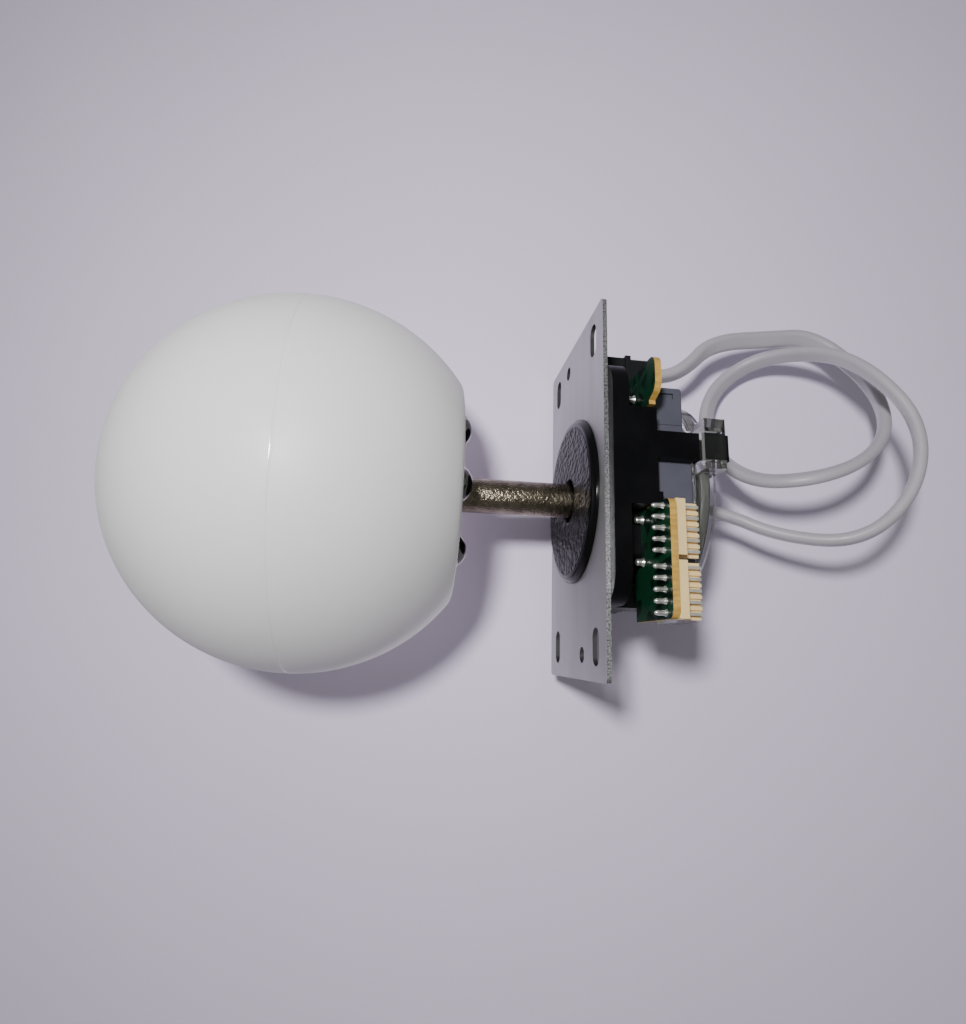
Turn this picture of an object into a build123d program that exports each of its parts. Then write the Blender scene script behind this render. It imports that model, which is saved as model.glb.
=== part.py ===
from build123d import *
import os
from math import atan, cos, pi, radians, sin, sqrt, tan

# Arcade joystick lever. Millimetres, +Z up along the lever,
# origin at the centre of the mounting plate's top face.

# Mounting plate
plate_length = 95.0
plate_width = 53.0
plate_thickness = 1.1
plate_corner = 1.5
plate_opening_radius = 11.0
slot_inset_x = 8.1
slot_inset_y = 8.2
slot_length = 9.0
slot_width = 5.0
locating_hole_radius = 2.0
locating_hole_inset = 6.1
locating_hole_y = 6.6
plate_screw_pitch = 24.0
plate_screw_radius = 1.5
plate_screw_head_radius = 2.4
plate_screw_bite = 3.6
recess_width_share = 0.3
recess_reach_share = 0.6
recess_depth_share = 0.7

# Dust washer
washer_radius = 22.7
washer_height = 1.9
washer_skin = 1.0
washer_rim_width = 1.6
washer_rim_slope = 1.3
washer_edge_height = 0.6

# Lever swing
tilt_degrees = 7.0
pivot_depth = 4.0
swing_clearance = 0.25

# Housing
flange_thickness = 4.1
flange_skin = 2.2
flange_wall = 2.2
flange_corner = 8.0
standoff_height = 5.1
block_left = -7.0
block_right = 17.0
tail_room = 0.8
rib_thickness = 1.8
skirt_wall = 2.2
skirt_corner = 5.0
pillar_radius = 3.2
post_centre = 7.9
post_width = 6.6
post_thickness = 3.0
post_gap = 0.7
hook_reach = 1.1
hook_height = 2.0
hook_nose_share = 0.3
root_overlap = 1.0
stub_width = 3.2
stub_reach = 1.0

# Pivot
pivot_radius = 8.0
pivot_up = 3.0
pivot_down = 6.0
pivot_clearance = 0.05
socket_wall = 1.95
cup_clearance = 0.1
cup_outer_radius = 8.5
cup_seat_drop = 0.5

# Shaft
shaft_radius = 4.75
lead_diameter = 3.4
lead_clearance = 0.5
lead_end_gap = 0.1
shaft_lower_radius = 4.0
shaft_tail = 2.7
collar_radius = 6.0
collar_height = 0.8
fit_clearance = 0.03

# Actuator and spring
actuator_radius = 7.6
actuator_wall = 1.0
actuator_rim_drop = 1.6
actuator_length = 7.8
actuator_floor = 1.0
nose_radius = 5.8
spring_wire_radius = 0.5
spring_turns = 5.0
spring_side_clearance = 0.2
clip_thickness = 0.8
clip_outer_radius = 5.6
clip_groove_depth = 0.6
clip_mouth = 5.0

# Circuit board
board_thickness = 1.6
board_half = 29.4
board_hole_radius = 12.0
board_edge_gap = 0.3
board_recess_right = 18.0
tab_left = 20.5
tab_reach = 33.5
tab_corner = 3.0
tongue_reach = 39.0
tongue_root = 3.0
tongue_corner = 2.0
tail_hole_clearance = 0.12

# Switches
switch_length = 27.8
switch_height = 15.9
switch_thickness = 10.3
switch_short_end = 5.8
switch_edge = 0.5
switch_hole_radius = 1.55
switch_hole_pitch = 22.2
switch_hole_back = 6.0
switch_slot_width = 1.5
switch_slot_length = 5.6
switch_slot_depth = 0.8
switch_slot_back = 1.7
switch_seam_back = 10.2
switch_seam_width = 0.3
switch_seam_depth = 0.25
plunger_radius = 1.4
plunger_reach = 0.9
plunger_travel = 0.8
plunger_inside = 3.0
plunger_clearance = 0.05
actuator_gap = 0.19
tail_width = 0.9
tail_thickness = 0.6
tail_reach = 1.4
tail_back = 3.2
tail_end_inset = 2.4
tail_middle_inset = 12.6

# Header on the board's tongue
header_pitch = 2.5
header_pin_count = 5
header_end_margin = 1.2
header_wafer_gap = 1.1
header_side_inset = 0.1
header_edge_inset = 3.5
header_front = 3.0
header_back = 2.3
header_base_height = 2.2
header_wall_height = 6.8
header_wall_thickness = 1.0
header_rib_width = 0.8
header_rib_depth = 0.7
header_pin_side = 0.64
header_pin_up = 2.5
header_pin_end_gap = 0.4
header_pin_clearance = 0.03

# Gate
gate_radius = 27.5
gate_height = 5.6
gate_rim = 2.0
gate_floor_drop = 1.5
gate_floor_thickness = 3.0
gate_corner = 3.0
gate_bevel = 1.2
ear_wall = 2.6
ear_height = 5.2
ear_clearance = 0.25

# Ball
ball_radius = 48.2
ball_flat_radius = 28.87
ball_base_z = 33.5
ball_wall = 3.0
ball_edge = 1.0
ball_lip_height = 1.6
ball_lip_clearance = 0.06
ball_screw_count = 6
ball_screw_edge = 6.0
ball_screw_angle = -36.0
ball_screw_head_radius = 4.7
ball_screw_head_height = 2.2
ball_screw_shank_radius = 2.0
ball_screw_bite = 3.4
hub_edge_gap = 3.85
hub_flange_height = 4.4
hub_neck_radius = 9.0
hub_neck_height = 11.0
hub_cap = 2.0
led_board_radius = 14.0
led_board_thickness = 1.6
led_size = 5.0
led_height = 1.6
led_circle = 9.0
led_count = 6

# Cord and plug
cord_diameter = 4.2
cord_gap = 1.0
cord_corner_share = 0.45
cord_route = (
    (0.0, 0.0, 0.0),
    (0.0, 0.0, -10.4),
    (-8.0, -6.7, -24.0),
    (-11.2, -19.4, -39.0),
    (2.0, -24.7, -51.7),
    (20.4, -25.7, -54.7),
    (37.3, -20.1, -47.0),
    (49.3, -7.1, -42.2),
    (53.0, 8.4, -29.4),
    (42.1, 13.6, -16.2),
    (22.9, 9.6, -12.4),
    (7.3, -5.8, -16.3),
    (5.1, -18.8, -27.5),
    (12.0, -18.2, -44.4),
    (25.7, -10.9, -58.1),
    (42.5, -4.2, -59.3),
    (57.6, -0.5, -44.9),
    (56.6, 1.6, -31.3),
    (52.6, 0.0, -11.1),
    (43.0, -0.5, -2.4),
    (39.6, 0.4, 4.8),
    (39.6, 0.4, 11.6),
)
plug_length = 19.5
plug_width = 6.5
plug_height = 9.5
plug_rear_length = 6.0
plug_flange = 0.6
plug_flange_length = 1.6
plug_cavity = 3.4
plug_cavity_depth = 9.0
plug_cavity_pitch = 4.3
plug_rail_width = 2.4
plug_rail_height = 1.2
plug_rail_front = 1.5
plug_window = 1.8
plug_grip = 2.0

# Heights that follow from the sizes above
flange_top = -plate_thickness
flange_bottom = flange_top - flange_thickness
board_top = flange_bottom - standoff_height
board_bottom = board_top - board_thickness
switch_bottom = board_bottom - switch_thickness
switch_mid = board_bottom - switch_thickness / 2
gate_top = switch_bottom
gate_bottom = gate_top - gate_height
gate_floor_top = gate_top - gate_floor_drop
gate_floor_bottom = gate_floor_top - gate_floor_thickness
ear_bottom = gate_top - ear_height
pivot_z = -pivot_depth
ball_centre_z = ball_base_z + sqrt(ball_radius**2 - ball_flat_radius**2)

# Radii that follow from the lever's swing
tilt = radians(tilt_degrees)
corner_tilt = atan(sqrt(2.0) * tan(tilt))
socket_radius = pivot_radius + pivot_clearance
shell_radius = socket_radius + socket_wall
cup_radius = shell_radius + cup_clearance
cup_bottom_depth = cup_radius - cup_seat_drop
cup_bottom = pivot_z - cup_bottom_depth
socket_opening = (
    shaft_lower_radius / cos(corner_tilt) + shell_radius * tan(corner_tilt) + swing_clearance
)
cup_bore = shaft_lower_radius / cos(tilt) + cup_bottom_depth * tan(tilt) + swing_clearance / 2
actuator_top = cup_bottom - actuator_rim_drop
actuator_bottom = actuator_top - actuator_length
spring_radius = actuator_radius - actuator_wall - spring_side_clearance - spring_wire_radius
spring_bottom = actuator_bottom + actuator_floor
nose_bottom = gate_floor_bottom - swing_clearance * 2
shaft_end = nose_bottom - clip_thickness - shaft_tail
washer_hole_radius = (
    shaft_radius / cos(corner_tilt)
    + (washer_height + pivot_depth) * tan(corner_tilt)
    + swing_clearance
)
switch_front = (
    actuator_radius / cos(tilt)
    + (pivot_z - switch_mid) * tan(tilt)
    + actuator_gap
    + plunger_reach
)
switch_back = switch_front + switch_height
switch_end = switch_short_end - switch_length
post_inner = switch_back + post_gap
flange_half = post_inner + post_thickness
board_recess = post_inner - board_edge_gap
board_recess_left = block_left - board_edge_gap
tongue_right = board_recess_left
header_first_pin_x = tongue_right - header_side_inset - header_end_margin
header_pin_y = header_edge_inset - tongue_reach
tail_radius = switch_back - tail_back
block_inner = tail_radius + tail_thickness / 2 + tail_room
skirt_half = tail_radius - tail_thickness / 2 - tail_room
post_tip = ear_bottom - ear_clearance - hook_height
gate_opening = (
    nose_radius / cos(tilt) + (pivot_z - gate_floor_bottom) * tan(tilt) + swing_clearance
)
hub_base_z = ball_base_z + ball_wall
hub_flange_radius = (
    sqrt((ball_radius - ball_wall) ** 2 - (ball_centre_z - hub_base_z) ** 2) - hub_edge_gap
)
ball_screw_circle = hub_flange_radius - ball_screw_edge
hub_top = hub_base_z + hub_flange_height + hub_neck_height
shaft_top = hub_top - hub_cap
shaft_bore_radius = lead_diameter / 2 + lead_clearance
led_board_top = hub_top + led_board_thickness
cord_exit_z = shaft_end - cord_gap


def bar(x0, x1, y0, y1, z0, z1):
    return Pos((x0 + x1) / 2, (y0 + y1) / 2, (z0 + z1) / 2) * Box(x1 - x0, y1 - y0, z1 - z0)


def rod(radius, z0, z1, x=0.0, y=0.0):
    return Pos(x, y, (z0 + z1) / 2) * Cylinder(radius, z1 - z0)


def turned(outline):
    return revolve(Plane.XZ * make_face(Polyline(*outline, close=True)), Axis.Z)


def ball(radius, z):
    return Pos(0, 0, z) * Sphere(radius)


def quarter_turns(shape):
    return [Rot(0, 0, 90 * k) * shape for k in range(4)]


def plate_screw_places():
    half = plate_screw_pitch / 2
    return [(sx * half, sy * half) for sx in (-1, 1) for sy in (-1, 1)]


def countersunk(x, y, radius, head_radius, length):
    head_height = head_radius - radius
    head = Pos(x, y, -head_height / 2) * Cone(radius, head_radius, head_height)
    return head + rod(radius, -length, -head_height, x, y)


def mounting_plate():
    plate = extrude(RectangleRounded(plate_length, plate_width, plate_corner), -plate_thickness)
    plate -= rod(plate_opening_radius, -plate_thickness, 0)
    for sx in (-1, 1):
        for sy in (-1, 1):
            slot_x = sx * (plate_length / 2 - slot_inset_x)
            slot_y = sy * (plate_width / 2 - slot_inset_y)
            place = Pos(slot_x, slot_y, -plate_thickness)
            plate -= place * extrude(SlotOverall(slot_length, slot_width), plate_thickness)
    hole_x = plate_length / 2 - locating_hole_inset
    for side in (-1, 1):
        plate -= rod(
            locating_hole_radius, -plate_thickness, 0, side * hole_x, side * locating_hole_y
        )
    for x, y in plate_screw_places():
        plate -= countersunk(
            x,
            y,
            plate_screw_radius + fit_clearance,
            plate_screw_head_radius + fit_clearance,
            plate_thickness,
        )
    return plate


def plate_screws():
    screws = []
    for x, y in plate_screw_places():
        screw = countersunk(
            x, y, plate_screw_radius, plate_screw_head_radius, plate_thickness + plate_screw_bite
        )
        slot = plate_screw_radius * recess_width_share
        reach = plate_screw_head_radius * recess_reach_share
        depth = (plate_screw_head_radius - plate_screw_radius) * recess_depth_share
        screw -= bar(x - reach, x + reach, y - slot, y + slot, -depth, 0)
        screw -= bar(x - slot, x + slot, y - reach, y + reach, -depth, 0)
        screws.append(screw)
    return Compound(children=screws)


def dust_washer():
    inner_rim = washer_radius - washer_rim_width
    under = washer_height - washer_skin
    return turned(
        [
            (washer_hole_radius, under),
            (inner_rim, under),
            (inner_rim, 0),
            (washer_radius, 0),
            (washer_radius, washer_edge_height),
            (washer_radius - washer_rim_slope, washer_height),
            (washer_hole_radius, washer_height),
        ]
    )


def hooked_post():
    left = post_centre - post_width / 2
    right = post_centre + post_width / 2
    outer = flange_half
    root = -outer + root_overlap
    post = bar(left, right, -outer, -post_inner, post_tip, board_top + root_overlap)
    latch = ear_bottom - ear_clearance
    wedge = make_face(
        Polyline(
            (root, latch),
            (-outer - hook_reach, latch),
            (-outer - hook_reach, latch - hook_height * hook_nose_share),
            (root, post_tip),
            close=True,
        )
    )
    return post + Pos(left, 0, 0) * extrude(Plane.YZ * wedge, post_width)


def housing():
    low = flange_top - flange_skin
    inner = flange_half - flange_wall
    body = Pos(0, 0, flange_bottom) * extrude(
        RectangleRounded(2 * flange_half, 2 * flange_half, flange_corner), flange_thickness
    )
    body -= Pos(0, 0, flange_bottom) * extrude(
        RectangleRounded(2 * inner, 2 * inner, flange_corner - flange_wall),
        flange_thickness - flange_skin,
    )
    half_rib = rib_thickness / 2
    ribs = bar(-inner, inner, -half_rib, half_rib, flange_bottom, low)
    body += ribs
    body += Rot(0, 0, 90) * ribs
    for x, y in plate_screw_places():
        body += rod(pillar_radius, flange_bottom, low, x, y)
    skirt_inner = skirt_half - skirt_wall
    skirt = RectangleRounded(2 * skirt_half, 2 * skirt_half, skirt_corner)
    skirt -= RectangleRounded(2 * skirt_inner, 2 * skirt_inner, skirt_corner - skirt_wall)
    body += Pos(0, 0, board_top) * extrude(skirt, low - board_top)
    body += rod(shell_radius, pivot_z, low + flange_skin / 2)
    bowl = ball(shell_radius, pivot_z)
    bowl -= rod(2 * shell_radius, pivot_z, pivot_z + 2 * shell_radius)
    body += bowl
    block = bar(block_left, block_right, -flange_half, -block_inner, board_top, low)
    stub = bar(
        block_left,
        block_left + stub_width,
        -flange_half,
        -post_inner,
        board_bottom - stub_reach,
        board_top + root_overlap,
    )
    lip = bar(
        block_left,
        block_right,
        -flange_half,
        -post_inner,
        board_bottom,
        board_top + root_overlap,
    )
    for side in quarter_turns(block + lip + hooked_post() + stub):
        body += side
    body -= ball(socket_radius, pivot_z)
    body -= rod(socket_radius, pivot_z, 0)
    body -= rod(socket_opening, pivot_z - 2 * shell_radius, pivot_z)
    for x, y in plate_screw_places():
        body -= rod(
            plate_screw_radius + fit_clearance, flange_top - plate_screw_bite, 0, x, y
        )
    return body


def header_length():
    return (header_pin_count - 1) * header_pitch + 2 * header_end_margin


def header_pin_xs():
    step = header_length() + header_wafer_gap
    return [
        [header_first_pin_x - wafer * step - k * header_pitch for k in range(header_pin_count)]
        for wafer in range(2)
    ]


def square_pin(x, y, side, z0, z1):
    return bar(x - side / 2, x + side / 2, y - side / 2, y + side / 2, z0, z1)


def tail_places():
    xs = (
        switch_end + tail_end_inset,
        switch_end + tail_middle_inset,
        switch_short_end - tail_end_inset,
    )
    return [(x, -tail_radius) for x in xs]


def tails_of_one_switch(grow, z0, z1):
    return [
        bar(
            x - tail_width / 2 - grow,
            x + tail_width / 2 + grow,
            y - tail_thickness / 2 - grow,
            y + tail_thickness / 2 + grow,
            z0,
            z1,
        )
        for x, y in tail_places()
    ]


def circuit_board():
    outline = Rectangle(2 * board_half, 2 * board_half)
    recess_width = board_recess_right - board_recess_left
    recess_depth = board_half - board_recess
    recess = Pos(
        (board_recess_left + board_recess_right) / 2, -board_recess - recess_depth
    ) * Rectangle(recess_width, 2 * recess_depth)
    for side in quarter_turns(recess):
        outline -= side
    tab = make_face(
        Polyline(
            (board_recess_right, -board_recess_right),
            (board_recess_right, -board_recess),
            (tab_left, -tab_reach),
            (board_half, -tab_reach),
            (board_half, -board_recess_right),
            close=True,
        )
    )
    outline += fillet(tab.vertices().sort_by(Axis.Y)[:2], tab_corner)
    tongue_left = min(header_pin_xs()[-1]) - header_end_margin - header_side_inset
    tongue = make_face(
        Polyline(
            (tongue_left, -board_recess_right),
            (tongue_left, -tongue_reach),
            (tongue_right, -tongue_reach),
            (tongue_right, -board_recess),
            (tongue_right - tongue_root, -board_recess_right),
            close=True,
        )
    )
    outline += fillet(tongue.vertices().sort_by(Axis.Y)[:2], tongue_corner)
    outline -= Circle(board_hole_radius)
    board = Pos(0, 0, board_bottom) * extrude(outline, board_thickness)
    hole_side = header_pin_side + 2 * header_pin_clearance
    for wafer in header_pin_xs():
        for x in wafer:
            board -= square_pin(x, header_pin_y, hole_side, board_bottom, board_top)
    for tail in tails_of_one_switch(tail_hole_clearance, board_bottom, board_top):
        for hole in quarter_turns(tail):
            board -= hole
    return board


def switch_tails():
    tails = []
    for tail in tails_of_one_switch(0, board_bottom, board_top + tail_reach):
        tails += quarter_turns(tail)
    return Compound(children=tails)


def switch_case():
    case = bar(
        switch_end, switch_short_end, -switch_back, -switch_front, switch_bottom, board_bottom
    )
    case = chamfer(case.edges(), switch_edge)
    middle = (switch_end + switch_short_end) / 2
    for side in (-1, 1):
        x = middle + side * switch_hole_pitch / 2
        y = switch_hole_back - switch_back
        case -= rod(switch_hole_radius, switch_bottom, board_bottom, x, y)
    half_slot = switch_slot_length / 2
    slot_y = switch_slot_back - switch_back
    for x, reach in ((switch_end, switch_slot_depth), (switch_short_end, -switch_slot_depth)):
        case -= bar(
            min(x, x + reach),
            max(x, x + reach),
            slot_y,
            slot_y + switch_slot_width,
            switch_mid - half_slot,
            switch_mid + half_slot,
        )
    seam_y = switch_seam_back - switch_back
    cut = switch_seam_depth
    seam = bar(
        switch_end, switch_short_end, seam_y, seam_y + switch_seam_width, switch_bottom, board_bottom
    )
    seam -= bar(
        switch_end + cut,
        switch_short_end - cut,
        seam_y,
        seam_y + switch_seam_width,
        switch_bottom + cut,
        board_bottom - cut,
    )
    case -= seam
    depth = plunger_inside + plunger_travel + plunger_clearance
    case -= across(plunger_radius + plunger_clearance, switch_front, switch_front + depth)
    return case


def across(radius, near, far):
    return Pos(0, -(near + far) / 2, switch_mid) * Rot(90, 0, 0) * Cylinder(radius, far - near)


def plunger():
    return across(plunger_radius, switch_front - plunger_reach, switch_front + plunger_inside)


def header(pin_xs):
    left = min(pin_xs) - header_end_margin
    right = max(pin_xs) + header_end_margin
    near = header_pin_y - header_front
    far = header_pin_y + header_back
    base = board_bottom - header_base_height
    tip = board_bottom - header_wall_height
    body = bar(left, right, near, far, base, board_bottom)
    body += bar(left, right, far - header_wall_thickness, far, tip, base)
    half = header_rib_width / 2
    wall = far - header_wall_thickness
    for x in pin_xs[:-1]:
        middle = x - header_pitch / 2
        body += bar(middle - half, middle + half, wall - header_rib_depth, wall, tip, base)
    hole_side = header_pin_side + 2 * header_pin_clearance
    for x in pin_xs:
        body -= square_pin(x, header_pin_y, hole_side, base, board_bottom)
    return body


def header_pins():
    tip = board_bottom - header_wall_height + header_pin_end_gap
    return Compound(
        children=[
            square_pin(x, header_pin_y, header_pin_side, tip, board_top + header_pin_up)
            for wafer in header_pin_xs()
            for x in wafer
        ]
    )


def gate():
    disc = rod(gate_radius, gate_bottom, gate_top)
    disc = chamfer(disc.edges().sort_by(Axis.Z)[0], gate_bevel)
    bore = gate_radius - gate_rim
    disc -= rod(bore, gate_floor_top, gate_top)
    disc -= rod(bore - gate_bevel, gate_bottom, gate_floor_bottom)
    opening = RectangleRounded(2 * gate_opening, 2 * gate_opening, gate_corner)
    disc -= Pos(0, 0, gate_bottom) * extrude(opening, gate_height)
    slot_half = post_width / 2 + ear_clearance
    slot_near = flange_half + ear_clearance
    slot_far = post_inner - ear_clearance
    root = sqrt(bore**2 - (post_centre + slot_half + ear_wall) ** 2)
    ear = bar(
        post_centre - slot_half - ear_wall,
        post_centre + slot_half + ear_wall,
        -slot_near - ear_wall,
        -root,
        ear_bottom,
        gate_top,
    )
    keep_out = rod(bore, gate_floor_top, gate_top)
    slot = bar(
        post_centre - slot_half, post_centre + slot_half, -slot_near, -slot_far, gate_bottom, gate_top
    )
    for side in quarter_turns(ear):
        disc += side - keep_out
    for side in quarter_turns(slot):
        disc -= side
    return disc


def shaft():
    stem = rod(shaft_radius, pivot_z - pivot_down, shaft_top)
    stem += rod(shaft_lower_radius, shaft_end, pivot_z - pivot_down)
    collar_z = pivot_z + pivot_up
    stem += rod(collar_radius, collar_z, collar_z + collar_height)
    groove = rod(shaft_lower_radius, nose_bottom - clip_thickness, nose_bottom)
    groove -= rod(shaft_lower_radius - clip_groove_depth, nose_bottom - clip_thickness, nose_bottom)
    stem -= groove
    stem -= rod(shaft_bore_radius, shaft_end, shaft_top)
    return stem


def pivot_ball():
    body = ball(pivot_radius, pivot_z)
    body -= rod(2 * pivot_radius, pivot_z + pivot_up, pivot_z + 2 * pivot_radius)
    body -= rod(2 * pivot_radius, pivot_z - 2 * pivot_radius, pivot_z - pivot_down)
    return body - rod(shaft_radius + fit_clearance, pivot_z - pivot_down, pivot_z + pivot_up)


def spring_cup():
    cup = rod(cup_outer_radius, cup_bottom, pivot_z)
    cup -= rod(cup_bore, cup_bottom, pivot_z)
    return cup - ball(cup_radius, pivot_z)


def return_spring():
    bottom = spring_bottom + spring_wire_radius
    top = cup_bottom - spring_wire_radius
    path = Pos(0, 0, bottom) * Helix((top - bottom) / spring_turns, top - bottom, spring_radius)
    return sweep(Plane(path @ 0, z_dir=path % 0) * Circle(spring_wire_radius), path=path)


def actuator():
    inner = actuator_radius - actuator_wall
    cup = rod(actuator_radius, actuator_bottom, actuator_top)
    cup -= rod(inner, spring_bottom, actuator_top)
    cup += rod(nose_radius, nose_bottom, actuator_bottom)
    return cup - rod(shaft_lower_radius + fit_clearance, nose_bottom, actuator_top)


def e_clip():
    low = nose_bottom - clip_thickness
    seat = shaft_lower_radius - clip_groove_depth + fit_clearance
    ring = rod(clip_outer_radius, low, nose_bottom)
    ring -= rod(seat, low, nose_bottom)
    return ring - bar(-clip_mouth / 2, clip_mouth / 2, 0, clip_outer_radius, low, nose_bottom)


def ball_screw_places():
    places = []
    for k in range(ball_screw_count):
        angle = radians(ball_screw_angle + k * 360 / ball_screw_count)
        places.append((ball_screw_circle * cos(angle), ball_screw_circle * sin(angle)))
    return places


def hub_screws():
    screws = []
    r = ball_screw_head_radius
    h = ball_screw_head_height
    dome = (r * r + h * h) / (2 * h)
    for x, y in ball_screw_places():
        head = Pos(x, y, ball_base_z - h + dome) * Sphere(dome)
        head &= rod(r, ball_base_z - h, ball_base_z, x, y)
        top = hub_base_z + ball_screw_bite
        screws.append(head + rod(ball_screw_shank_radius, ball_base_z, top, x, y))
    return Compound(children=screws)


def ball_hub():
    neck_z = hub_base_z + hub_flange_height
    hub = rod(hub_flange_radius, hub_base_z, neck_z)
    hub += rod(hub_neck_radius, neck_z, hub_top)
    hub -= rod(shaft_radius + fit_clearance, hub_base_z, shaft_top)
    hub -= rod(shaft_bore_radius, shaft_top, hub_top)
    for x, y in ball_screw_places():
        hub -= rod(
            ball_screw_shank_radius + fit_clearance,
            hub_base_z,
            hub_base_z + ball_screw_bite + fit_clearance,
            x,
            y,
        )
    return hub


def led_board():
    return rod(led_board_radius, hub_top, led_board_top)


def leds():
    half = led_size / 2
    chip = bar(
        led_circle - half,
        led_circle + half,
        -half,
        half,
        led_board_top,
        led_board_top + led_height,
    )
    return Compound(children=[Rot(0, 0, 360 / led_count * k) * chip for k in range(led_count)])


def ball_lower():
    shell = ball(ball_radius, ball_centre_z)
    shell -= rod(2 * ball_radius, ball_centre_z, ball_centre_z + 2 * ball_radius)
    shell -= rod(2 * ball_radius, ball_centre_z - 2 * ball_radius, ball_base_z)
    rim = shell.edges().filter_by(GeomType.CIRCLE).sort_by(
        lambda e: abs(e.radius - ball_flat_radius)
    )
    shell = fillet(rim[0], ball_edge)
    hollow = ball(ball_radius - ball_wall, ball_centre_z)
    hollow -= rod(2 * ball_radius, ball_centre_z - 2 * ball_radius, hub_base_z)
    shell -= hollow
    lip_root = ball_centre_z - root_overlap
    lip_top = ball_centre_z + ball_lip_height
    lip = rod(ball_radius - ball_wall / 2, lip_root, lip_top)
    lip -= rod(ball_radius - ball_wall, lip_root, lip_top)
    lip -= hollow
    shell += lip & ball(ball_radius - ball_wall / 3, ball_centre_z)
    shell -= rod(shaft_radius + fit_clearance, ball_base_z, hub_base_z)
    for x, y in ball_screw_places():
        shell -= rod(ball_screw_shank_radius + fit_clearance, ball_base_z, hub_base_z, x, y)
    return shell


def ball_upper():
    shell = ball(ball_radius, ball_centre_z)
    shell -= ball(ball_radius - ball_wall, ball_centre_z)
    shell -= rod(2 * ball_radius, ball_centre_z - 2 * ball_radius, ball_centre_z)
    seat_radius = ball_radius - ball_wall / 2 + ball_lip_clearance
    seat_top = ball_centre_z + ball_lip_height + ball_lip_clearance
    return shell - rod(seat_radius, ball_centre_z, seat_top)


def led_lead():
    return rod(lead_diameter / 2, cord_exit_z + lead_end_gap, hub_top)


def cord_corners(points):
    radii = []
    for a, b, c in zip(points, points[1:], points[2:]):
        turn = radians((b - a).get_angle(c - b))
        run = min((b - a).length, (c - b).length)
        radii.append(cord_corner_share * run / tan(turn / 2))
    return radii


def cord_points():
    return [Vector(x, y, z + cord_exit_z) for x, y, z in cord_route]


def cord():
    points = cord_points()
    radii = cord_corners(points)
    path = FilletPolyline(*points, radius=radii)
    print("cord corner radii", [round(r, 1) for r in radii])
    tube = sweep(Plane(path @ 0, z_dir=path % 0) * Circle(cord_diameter / 2), path=path)
    expected = pi * cord_diameter**2 / 4 * path.length
    print("cord length", round(path.length, 1), "volume share", round(tube.volume / expected, 4))
    return tube


def plug():
    end = cord_points()[-1]
    half_w = plug_width / 2
    half_h = plug_height / 2
    rear = -plug_rear_length
    front = -plug_length
    flange_front = rear - plug_flange_length
    slim_w = half_w - plug_flange
    slim_h = half_h - plug_flange
    body = bar(rear, 0, -slim_w, slim_w, -slim_h, slim_h)
    body = chamfer(body.edges().filter_by(Axis.X), plug_flange)
    body += bar(flange_front, rear, -half_w, half_w, -half_h, half_h)
    body += bar(front, flange_front, -slim_w, slim_w, -slim_h, slim_h)
    rail_half = plug_rail_width / 2
    body += bar(
        front + plug_rail_front, flange_front, -rail_half, rail_half, slim_h, slim_h + plug_rail_height
    )
    cavity = plug_cavity / 2
    window = plug_window / 2
    for side in (-1, 1):
        z = side * plug_cavity_pitch / 2
        body -= bar(front, front + plug_cavity_depth, -cavity, cavity, z - cavity, z + cavity)
        middle = front + plug_cavity_depth / 2
        body -= bar(middle - window, middle + window, -half_w, half_w, z - window / 2, z + window / 2)
    body -= Pos(-plug_grip / 2, 0, 0) * Rot(0, 90, 0) * Cylinder(
        cord_diameter / 2 + fit_clearance, plug_grip
    )
    return Pos(end.X, end.Y, end.Z - plug_grip) * Rot(0, 0, 180) * Rot(0, 90, 0) * body


names = ("front", "right", "back", "left")
wafers = header_pin_xs()
nodes = {
    "mounting_plate": mounting_plate(),
    "plate_screws": plate_screws(),
    "dust_washer": dust_washer(),
    "housing": housing(),
    "circuit_board": circuit_board(),
    "switch_tails": switch_tails(),
    "header_inner": header(wafers[0]),
    "header_outer": header(wafers[1]),
    "header_pins": header_pins(),
    "gate": gate(),
    "shaft": shaft(),
    "pivot_ball": pivot_ball(),
    "spring_cup": spring_cup(),
    "return_spring": return_spring(),
    "actuator": actuator(),
    "e_clip": e_clip(),
    "ball_hub": ball_hub(),
    "hub_screws": hub_screws(),
    "led_board": led_board(),
    "leds": leds(),
    "ball_lower": ball_lower(),
    "ball_upper": ball_upper(),
    "led_lead": led_lead(),
    "cord": cord(),
    "plug": plug(),
}
for name, case, pin in zip(names, quarter_turns(switch_case()), quarter_turns(plunger())):
    nodes["switch_" + name] = case
    nodes["plunger_" + name] = pin

os.makedirs("parts", exist_ok=True)
for node, shape in nodes.items():
    export_step(shape, "parts/" + node + ".step")
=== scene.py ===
import math

import bmesh
import bpy
from bpy.props import FloatProperty, FloatVectorProperty, IntProperty, PointerProperty
from mathutils import Matrix, Vector


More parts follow.
